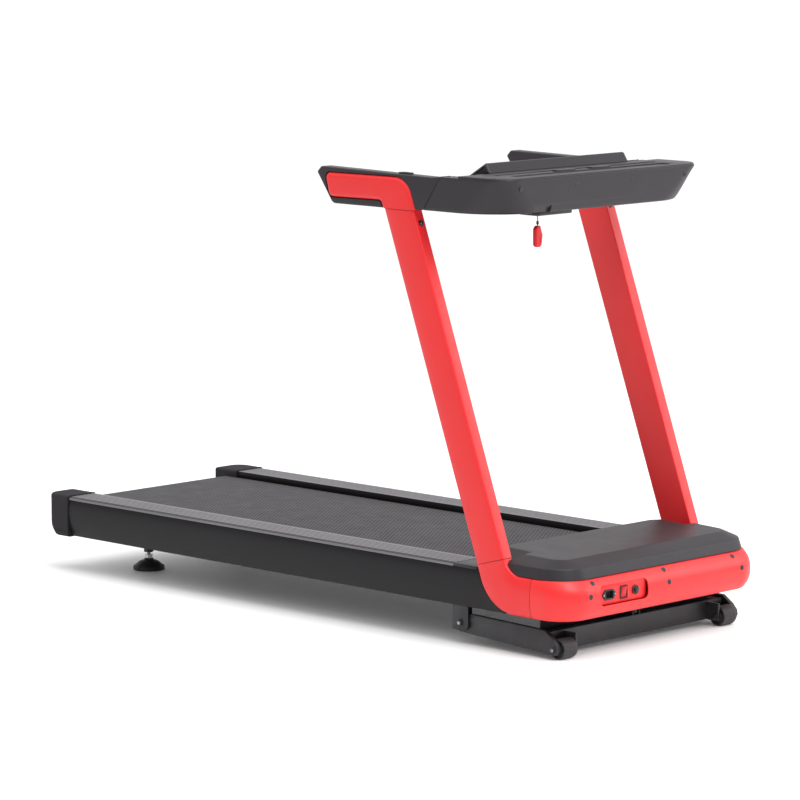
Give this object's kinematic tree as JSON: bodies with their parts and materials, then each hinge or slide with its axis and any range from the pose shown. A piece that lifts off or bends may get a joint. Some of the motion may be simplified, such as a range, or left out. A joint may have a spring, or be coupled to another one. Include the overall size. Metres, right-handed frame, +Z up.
{
  "type": "folding flat-deck motorised treadmill",
  "caption": "Flat running deck between side rails, leaning uprights with level handles and console, front motor hood, transport wheels and rear levelling feet.",
  "frame": {"origin": "centre of the object's footprint box on the floor", "axes": "+X forward to the motor hood, +Y to the user's left, +Z up"},
  "size_m": [1.841, 0.714, 1.1358],
  "materials": {
    "red_paint": "smooth satin powder coat",
    "red_plastic": "satin moulded plastic in the frame's red",
    "charcoal_plastic": "fine-grained moulded plastic",
    "ribbed_strip": "ribbed anti-slip tread",
    "rail_metal": "dark anodised extrusion",
    "black_rubber": "black rubber",
    "black_steel": "black powder coat",
    "deck_board": "phenolic-faced board",
    "belt_rubber": "fine diagonal tread",
    "motor_paint": "dark grey paint",
    "heat_sink": "plain aluminium",
    "black_plastic": "black moulded plastic",
    "roller_steel": "turned steel",
    "chrome_steel": "bright plated thread",
    "switch_red": "bright red plastic",
    "screen": "smoked display window",
    "cord_weave": "black braided cord"
  },
  "bodies": {
    "base": {"side_rail_L": "rail_metal", "side_rail_R": "rail_metal", "foot_strip_L": "ribbed_strip", "foot_strip_R": "ribbed_strip", "rail_cover_L": "charcoal_plastic", "rail_cover_R": "charcoal_plastic", "end_cap_L": "charcoal_plastic", "end_cap_R": "charcoal_plastic", "end_gasket_L": "black_rubber", "end_gasket_R": "black_rubber", "cross_member_front": "black_steel", "cross_member_mid": "black_steel", "cross_member_rear": "black_steel", "deck_stringer_L": "black_steel", "deck_stringer_R": "black_steel", "running_deck": "deck_board", "running_belt": "belt_rubber", "base_elbow_L": "red_paint", "base_elbow_R": "red_paint", "front_bumper": "red_plastic", "motor_hood": "charcoal_plastic", "base_pan": "black_steel", "drive_motor": "motor_paint", "motor_controller": "heat_sink", "drive_belt": "black_rubber", "incline_motor": "motor_paint", "power_panel": "red_plastic", "power_inlet": "black_plastic", "pivot_bracket_L": "black_steel", "pivot_bracket_R": "black_steel"},
    "front_roller_body": {"front_roller": "roller_steel"},
    "rear_roller_body": {"rear_roller": "roller_steel"},
    "motor_pulley_body": {"motor_pulley": "roller_steel"},
    "rocker": {"rocker_switch": "switch_red"},
    "breaker": {"breaker_button": "black_plastic"},
    "incline_arm": {"incline_frame": "black_steel"},
    "wheel_L_body": {"wheel_L": "black_rubber"},
    "wheel_R_body": {"wheel_R": "black_rubber"},
    "incline_screw": {"incline_tube": "black_steel"},
    "foot_L": {"foot_pad_L": "black_rubber", "foot_stem_L": "chrome_steel"},
    "foot_R": {"foot_pad_R": "black_rubber", "foot_stem_R": "chrome_steel"},
    "uprights": {"upright_L": "red_paint", "upright_R": "red_paint"},
    "console": {"console_shell": "charcoal_plastic", "console_deck": "charcoal_plastic", "display_housing": "charcoal_plastic", "display_screen": "screen", "handle_shell_L": "charcoal_plastic", "handle_shell_R": "charcoal_plastic", "handle_arm_L": "red_plastic", "handle_arm_R": "red_plastic", "key_socket": "black_plastic"},
    "button_L": {"handle_button_L": "black_plastic"},
    "button_R": {"handle_button_R": "black_plastic"},
    "key_1": {"console_key_1": "black_plastic"},
    "key_2": {"console_key_2": "black_plastic"},
    "safety_key": {"safety_clip": "switch_red", "lanyard": "cord_weave"}
  },
  "joints": [
    {"name": "upright_fold", "type": "hinge", "parent": "base", "child": "uprights", "pos_m": [0.6275, 0, 0.201], "axis": [0, -1, 0], "range_deg": [0, 69]},
    {"name": "console_level", "type": "hinge", "parent": "uprights", "child": "console", "pos_m": [0.4216, 0, 1.022], "axis": [0, -1, 0], "range_deg": [-69, 0]},
    {"name": "front_roller_spin", "type": "hinge", "parent": "base", "child": "front_roller_body", "pos_m": [0.6805, 0, 0.158], "axis": [0, 1, 0], "continuous": true},
    {"name": "rear_roller_spin", "type": "hinge", "parent": "base", "child": "rear_roller_body", "pos_m": [-0.8595, 0, 0.158], "axis": [0, 1, 0], "continuous": true},
    {"name": "motor_spin", "type": "hinge", "parent": "base", "child": "motor_pulley_body", "pos_m": [0.7715, 0, 0.148], "axis": [0, 1, 0], "continuous": true},
    {"name": "switch_rock", "type": "hinge", "parent": "base", "child": "rocker", "pos_m": [0.9105, -0.149, 0.148], "axis": [0, -1, 0], "range_deg": [0, 14]},
    {"name": "breaker_press", "type": "slide", "parent": "base", "child": "breaker", "axis": [-1, 0, 0], "range_m": [0, 0.003], "stiffness_N_per_m": 300},
    {"name": "incline_lift", "type": "hinge", "parent": "base", "child": "incline_arm", "pos_m": [0.5565, 0, 0.051], "axis": [0, 1, 0], "range_deg": [0, 12]},
    {"name": "incline_screw_travel", "type": "slide", "parent": "base", "child": "incline_screw", "axis": [0, 0, -1], "range_m": [0, 0.056]},
    {"name": "wheel_L_spin", "type": "hinge", "parent": "incline_arm", "child": "wheel_L_body", "pos_m": [0.8495, 0.2875, 0.0245], "axis": [0, 1, 0], "continuous": true},
    {"name": "wheel_R_spin", "type": "hinge", "parent": "incline_arm", "child": "wheel_R_body", "pos_m": [0.8495, -0.2875, 0.0245], "axis": [0, 1, 0], "continuous": true},
    {"name": "foot_L_adjust", "type": "slide", "parent": "base", "child": "foot_L", "axis": [0, 0, 1], "range_m": [-0.015, 0]},
    {"name": "foot_R_adjust", "type": "slide", "parent": "base", "child": "foot_R", "axis": [0, 0, 1], "range_m": [-0.015, 0]},
    {"name": "button_L_press", "type": "slide", "parent": "console", "child": "button_L", "axis": [0, 0, -1], "range_m": [0, 0.0018], "stiffness_N_per_m": 300},
    {"name": "button_R_press", "type": "slide", "parent": "console", "child": "button_R", "axis": [0, 0, -1], "range_m": [0, 0.0018], "stiffness_N_per_m": 300},
    {"name": "key_1_press", "type": "slide", "parent": "console", "child": "key_1", "axis": [0, 0, -1], "range_m": [0, 0.0013], "stiffness_N_per_m": 300},
    {"name": "key_2_press", "type": "slide", "parent": "console", "child": "key_2", "axis": [0, 0, -1], "range_m": [0, 0.0013], "stiffness_N_per_m": 300},
    {"name": "safety_key_swing", "type": "hinge", "parent": "console", "child": "safety_key", "pos_m": [0.6455, -0.162, 1.0145], "axis": [0, 1, 0], "range_deg": [-40, 40]}
  ],
  "couplings": [
    {"joint": "console_level", "follows": "upright_fold", "ratio": -1},
    {"joint": "rear_roller_spin", "follows": "front_roller_spin", "ratio": 1},
    {"joint": "motor_spin", "follows": "front_roller_spin", "ratio": 2.039},
    {"joint": "incline_screw_travel", "follows": "incline_lift", "m_per_rad": 0.259}
  ]
}
